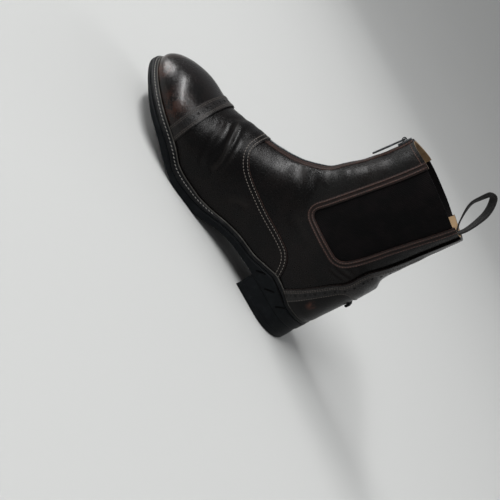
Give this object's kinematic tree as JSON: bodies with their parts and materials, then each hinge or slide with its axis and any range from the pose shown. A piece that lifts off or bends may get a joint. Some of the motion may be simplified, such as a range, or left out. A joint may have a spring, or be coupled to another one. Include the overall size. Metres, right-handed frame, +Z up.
{
  "type": "paddock boot",
  "caption": "Left ankle-high leather riding boot with front zip, elastic side panels, perforated toe cap and counter, pull loop and low-heeled rubber sole.",
  "frame": {"origin": "on the floor, under the middle of the boot's bounding box", "axes": "+X towards the toe, +Y towards the outer side of this left boot, +Z up"},
  "size_m": [0.2816, 0.0999, 0.2252],
  "materials": {
    "leather": "polished, worn",
    "welt_leather": "satin",
    "rubber": "matt",
    "lining": "matt",
    "elastic": "matt",
    "tape": "matt",
    "gunmetal": "dark satin"
  },
  "bodies": {
    "boot": {"outsole": "rubber", "welt": "welt_leather", "insole": "lining", "upper": "leather", "toe_cap": "leather", "counter": "leather", "spur_rest": "leather", "gore_outer": "elastic", "gore_inner": "elastic", "zip_tape": "tape", "zip_teeth": "gunmetal", "zip_slider": "gunmetal", "pull_loop": "tape"},
    "pull": {"zip_pull": "gunmetal"}
  },
  "joints": [
    {"name": "pull_hinge", "type": "hinge", "parent": "boot", "child": "pull", "pos_m": [-0.0351, 0, 0.1848], "axis": [0, -1, 0], "range_deg": [0, 150]}
  ]
}
